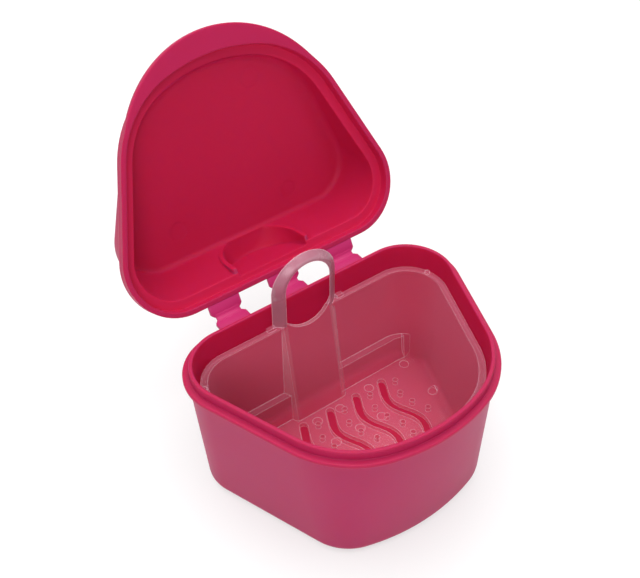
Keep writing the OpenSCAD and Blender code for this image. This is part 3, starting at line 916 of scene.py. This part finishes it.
# With a softness, the column's two front edges are rounded
def columnBlock(name, inset, past, low, high, softness=0.0):
    piece = loft(name, [columnPlan(low, inset, past), columnPlan(high, inset, past)])
    if softness:
        behind = columnPlan(low, inset, past)[2].y - 1.0 * mm
        least = 5 * mm  # upright edges are longer, and the front edges further from the middle
        pick(piece)
        bpy.ops.object.mode_set(mode="EDIT")
        bpy.ops.mesh.select_mode(type="EDGE")
        bpy.ops.mesh.select_all(action="DESELECT")
        mesh = bmesh.from_edit_mesh(piece.data)
        for edge in mesh.edges:
            a, b = edge.verts
            upright = abs(a.co.z - b.co.z) > least
            atSide = min(abs(a.co.x), abs(b.co.x)) > least
            edge.select = upright and atSide and min(a.co.y, b.co.y) < behind
        bmesh.update_edit_mesh(piece.data)
        bpy.ops.mesh.bevel(offset=softness * mm, segments=4, affect="EDGES")
        bpy.ops.object.mode_set(mode="OBJECT")
    return piece


# The loop: a narrow band bent over an arch, wider at its back edge than at its front
def makeLoop(low):
    h = handleSizes
    frontY = handleBackY - h["depth"]
    zFront = h["top"] - h["fall"] - h["frontHalf"]
    zBack = h["top"] - h["backHalf"]
    r = h["bandRound"]
    section = softProfile([(0.5, 0, 0), (1, 0, r), (1, 1, r), (0, 1, r), (0, 0, r), (0.5, 0, 0)],
                          h["bandSteps"])[:-1]

    # turn is the angle on the arch, or side and share say where on a limb it is
    def station(turn=None, side=1, share=0.0):
        ring = []
        for q in section:
            depth, out = q.x, q.y
            y = frontY + h["depth"] * depth
            radius = h["frontHalf"] + (h["backHalf"] - h["frontHalf"]) * depth - h["wall"] * (1 - out)
            centre = zFront + (zBack - zFront) * depth
            if turn is None:
                ring.append(Vector((side * radius, y, low + (centre - low) * share)) * mm)
            else:
                ring.append(Vector((radius * math.cos(turn), y, centre + radius * math.sin(turn))) * mm)
        return ring

    shares = [k / h["limbSteps"] for k in range(h["limbSteps"])]
    rings = [station(share=share) for share in shares]
    rings += [station(turn=math.pi * k / h["archSteps"]) for k in range(h["archSteps"] + 1)]
    rings += [station(side=-1, share=share) for share in reversed(shares)]
    return loft("loop", rings)


drainSizes = {
    "slots": 5, "pitch": 10.0, "width": 2.6, "length": 30.4, "swing": 1.8, "wave": 22.0,
    "backY": 17.9, "troughY": 10.0, "slotSteps": 44, "capSteps": 10,
    "hole": 1.6, "holePitch": 4.9, "holeBackY": 16.1,
}
markSizes = {
    "radius": 1.5, "depth": 0.15, "steps": 32,
    "places": [(31.8, 19.7), (31.7, 5.4), (16.5, 18.3), (12.6, 6.9), (4.3, 17.0), (4.5, 7.2)],
}


def waveX(y):
    d = drainSizes
    return -d["swing"] * math.cos(2 * math.pi * (y - d["troughY"]) / d["wave"])


def wavySlot(x, low, high):
    d = drainSizes
    steps, ends = d["slotSteps"], d["capSteps"]
    half = d["width"] / 2
    places = [d["backY"] - d["length"] * k / steps for k in range(steps + 1)]
    line = [Vector((x + waveX(y), y)) for y in places]
    left, right = [], []
    for k, point in enumerate(line):
        way = (line[min(k + 1, steps)] - line[max(k - 1, 0)]).normalized()
        side = Vector((-way.y, way.x)) * half
        left.append(point + side)
        right.append(point - side)

    def cap(centre, corner):
        start = corner - centre
        return [centre + Matrix.Rotation(-math.pi * k / ends, 2) @ start for k in range(1, ends)]

    loop = left + cap(line[-1], left[-1]) + right[::-1] + cap(line[0], right[0])
    return block("slot", [Vector((q.x, q.y, low)) * mm for q in loop], (0, 0, (high - low) * mm))


# Slots with a row of holes between each two, and a shorter row outside the first and the last
def drainTools():
    d = drainSizes
    low, high = basketSizes["bottomZ"] - toolReach, basketFloorZ + toolReach
    first = -d["pitch"] * (d["slots"] - 1) / 2
    tools = [wavySlot(first + k * d["pitch"], low, high) for k in range(d["slots"])]
    rows = int((d["length"] - d["width"]) / d["holePitch"])
    for k in range(-1, d["slots"]):
        outer = k in (-1, d["slots"] - 1)
        for j in range(rows - 1 if outer else rows + 1):
            y = d["holeBackY"] - j * d["holePitch"]
            tools.append(rodZ(first + (k + 0.5) * d["pitch"] + waveX(y), y, d["hole"] / 2, low, high))
    return joinAll(tools[0], tools[1:])


def ejectorTools():
    m = markSizes
    marks = []
    for x, y in m["places"]:
        for side in (-1, 1):
            marks.append(rodZ(side * x, y, m["radius"], basketFloorZ - m["depth"],
                              basketFloorZ + toolReach, m["steps"]))
    return joinAll(marks[0], marks[1:])


stopSizes = {
    "inner": 10.8, "outer": 13.4, "front": 27.5, "back": 29.2, "height": 0.7, "sink": 0.5, "round": 0.3,
    "nubX": 39.3, "nubY": 20.3, "nubRadius": 0.8, "nubHeight": 0.5,
}


# A low stop on the rim at each side of the column
def rimStop(side):
    n = stopSizes
    plan = level([(side * n["inner"], n["front"]), (side * n["outer"], n["front"]),
                  (side * n["outer"], n["back"]), (side * n["inner"], n["back"])],
                 basketSizes["rimZ"] - n["sink"])
    stop = block("rimStop", plan, (0, 0, (n["sink"] + n["height"]) * mm))
    roundEdges(stop, n["round"], 3, 30)
    return stop


# A round nub on the rim at each back corner
def rimNub(side):
    n, rim = stopSizes, basketSizes["rimZ"]
    return rodZ(side * n["nubX"], n["nubY"], n["nubRadius"], rim - n["sink"], rim + n["nubHeight"])


def makeBasket():
    b, h = basketSizes, handleSizes
    ledgeZ = basketFloorZ + b["ledgeHeight"]
    below = b["bottomZ"] - toolReach
    basket = makeBowl()
    ledge = ledgeBlock("ledge", 0, b["bottomZ"], ledgeZ, b["ledgeRound"])
    combine(ledge, basketBody(b["wall"] / 2), "INTERSECT")
    combine(basket, ledge, "UNION")
    column = columnBlock("column", 0, 0, b["bottomZ"] + b["floor"] / 2, b["rimZ"] + h["columnRise"],
                         h["columnRound"])
    combine(basket, column, "UNION")
    combine(basket, ledgeBlock("ledgeHollow", b["wall"], below, ledgeZ - b["wall"]), "DIFFERENCE")
    hollow = columnBlock("columnHollow", h["wall"], h["hollowPast"], below, b["rimZ"] + h["hollowRise"])
    combine(basket, hollow, "DIFFERENCE")
    hole = rodY(0, fingerHoleZ, h["holeRadius"], h["holeFront"], h["holeBack"], h["holeSteps"])
    combine(basket, hole, "DIFFERENCE")
    combine(basket, drainTools(), "DIFFERENCE")
    combine(basket, ejectorTools(), "DIFFERENCE")
    for side in (-1, 1):
        combine(basket, rimStop(side), "UNION")
        combine(basket, rimNub(side), "UNION")
    combine(basket, makeLoop(b["rimZ"] - h["loopSink"]), "UNION")
    return basket


# Where a face gets the painted edge highlight. The leans and turns are parts of its normal.
edgeZones = {
    "drainHalf": 30, "drainBackY": 20, "drainLean": 0.3, "holeNear": 0.1, "holeTurn": 0.3,
    "flankRise": 0.4, "flankFrontY": 14, "flankTurn": 0.1, "flankLean": 0.5, "flankIn": 1.3,
    "flankOut": 2.9, "loopRise": 0.1, "loopHalf": 11.4,
}


# Cut edges and the column's sides get a paler, milkier material than the walls, a painted highlight for the
# light they pipe. The loop is milkiest.
def markEdges(piece):
    b, e = basketSizes, edgeZones
    for face in piece.data.polygons:
        x, y, z = (v / mm for v in face.center)
        n = face.normal
        inDrain = (b["bottomZ"] + 2 * hair < z < basketFloorZ - 2 * hair and abs(n.z) < e["drainLean"]
                   and abs(x) < e["drainHalf"] and y < e["drainBackY"])
        fromHole = abs(math.hypot(x, z - fingerHoleZ) - handleSizes["holeRadius"])
        inHole = fromHole < e["holeNear"] and abs(n.y) < e["holeTurn"] and z < b["rimZ"]
        half = columnFrontHalf(z)
        onFlank = (basketFloorZ + e["flankRise"] < z < b["rimZ"] and y > e["flankFrontY"]
                   and abs(n.x) > e["flankTurn"] and abs(n.z) < e["flankLean"]
                   and half - e["flankIn"] < abs(x) < half + e["flankOut"])
        if z > b["rimZ"] + e["loopRise"] and abs(x) < e["loopHalf"]:
            face.material_index = handleSlot
        else:
            face.material_index = edgeHighlightSlot if inDrain or inHole or onFlank else wallSlot


basket = makeBasket()
basket.name = basket.data.name = "basketBowl"
markEdges(basket)
useMaterials(basket, clearWall, clearEdgeHighlight, clearHandle)
smooth(basket)
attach(basket, "basket")
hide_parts("basket", "basket_handle")
print("basket ready")


# Floor, light and camera. Floor and lamps are in metres.

stageLook = {
    "floorSize": 6.0, "floorDrop": 0.0002, "worldStrength": 0.30,
    "paint": {"Base Color": (0.90, 0.90, 0.90, 1), "Roughness": 0.9, "Specular IOR Level": 0},
    "fade": {"From Min": 0.3, "From Max": 0.9, "To Min": 0.55},
}


# 1 for what the camera sees straight, in a gloss or through glass, 0 for light that falls on things
def seenRays(nodes, links):
    ray = nodes.new("ShaderNodeLightPath")
    total = ray.outputs["Is Camera Ray"]
    for kind in ("Is Glossy Ray", "Is Transmission Ray"):
        either = mathNode(nodes, "MAXIMUM")
        links.new(total, either.inputs[0])
        links.new(ray.outputs[kind], either.inputs[1])
        total = either.outputs[0]
    return total


def makeFloor():
    look = stageLook
    deselectAll()
    bpy.ops.mesh.primitive_plane_add(size=look["floorSize"], location=(0, 0, -look["floorDrop"]))
    floor = bpy.context.object
    floor.name = "floor"
    paint, nodes, links, shader = newMaterial("paleFloor")
    setInputs(shader, look["paint"])
    white = nodes.new("ShaderNodeEmission")
    place = nodes.new("ShaderNodeTexCoord")
    away = nodes.new("ShaderNodeVectorMath")
    away.operation = "LENGTH"
    links.new(place.outputs["Object"], away.inputs[0])
    fade = nodes.new("ShaderNodeMapRange")  # far from the object the floor is plain white
    setInputs(fade, look["fade"])
    links.new(away.outputs["Value"], fade.inputs["Value"])
    share = mathNode(nodes, "MULTIPLY")
    links.new(fade.outputs["Result"], share.inputs[1])
    links.new(seenRays(nodes, links), share.inputs[0])
    mix = mixShaders(nodes, links, share.outputs[0], shader.outputs["BSDF"], white.outputs["Emission"])
    links.new(mix, nodes["Material Output"].inputs["Surface"])
    floor.data.materials.append(paint)


def makeWorld():
    world = bpy.data.worlds.new("paleStudio")
    bpy.context.scene.world = world
    world.use_nodes = True
    nodes, links = world.node_tree.nodes, world.node_tree.links
    soft = nodes["Background"]
    setInputs(soft, {"Color": (1, 1, 1, 1), "Strength": stageLook["worldStrength"]})
    white = nodes.new("ShaderNodeBackground")
    setInputs(white, {"Color": (1, 1, 1, 1), "Strength": 1.0})
    mix = mixShaders(nodes, links, seenRays(nodes, links), soft.outputs["Background"],
                     white.outputs["Background"])
    links.new(mix, nodes["World Output"].inputs["Surface"])


lamps = {
    "overhead": {"place": (0.05, 0.20, 1.20), "size": 1.4, "power": 20},
    "front": {"place": (-0.80, -1.05, 0.95), "size": 0.8, "power": 11.5},
}
lampAim = (0, 0.01, 0.04)


def makeLamps():
    for name, lamp in lamps.items():
        deselectAll()
        bpy.ops.object.light_add(type="AREA", location=lamp["place"])
        light = bpy.context.object
        light.name = name
        light.data.size = lamp["size"]
        light.data.energy = lamp["power"]
        aim = Vector(lampAim) - Vector(lamp["place"])
        light.rotation_euler = aim.to_track_quat("-Z", "Y").to_euler()


# The photograph's camera. f, right, down and frame, its width, are in pixels, and clipStart in metres.
viewpoint = {
    "azimuth": -36.11, "elevation": 43.26, "roll": -0.4, "distance": 274.6, "clipStart": 0.01,
    "target": (-11.41, 3.24, 70.89), "f": 1092.5, "right": 4.56, "down": 5.27, "frame": 640, "sensor": 36,
}


def makeCamera():
    v = viewpoint
    a, e, r = (math.radians(v[k]) for k in ("azimuth", "elevation", "roll"))
    back = Vector((math.sin(a) * math.cos(e), -math.cos(a) * math.cos(e), math.sin(e)))
    right = (-back).cross(Vector((0, 0, 1))).normalized()
    up = right.cross(-back)
    right, up = right * math.cos(r) + up * math.sin(r), up * math.cos(r) - right * math.sin(r)
    place = (Vector(v["target"]) + back * v["distance"]) * mm
    bpy.ops.object.camera_add()
    camera = bpy.context.object
    camera.matrix_world = Matrix((
        (right.x, up.x, back.x, place.x), (right.y, up.y, back.y, place.y),
        (right.z, up.z, back.z, place.z), (0, 0, 0, 1)))
    camera.data.sensor_fit = "HORIZONTAL"
    camera.data.sensor_width = v["sensor"]
    camera.data.lens = v["f"] / v["frame"] * v["sensor"]
    camera.data.shift_x = -v["right"] / v["frame"]
    camera.data.shift_y = v["down"] / v["frame"]
    camera.data.clip_start = v["clipStart"]
    bpy.context.scene.camera = camera


makeFloor()
makeWorld()
makeLamps()
makeCamera()
bpy.context.scene.view_settings.view_transform = "Standard"
print("stage, lamps and camera ready")
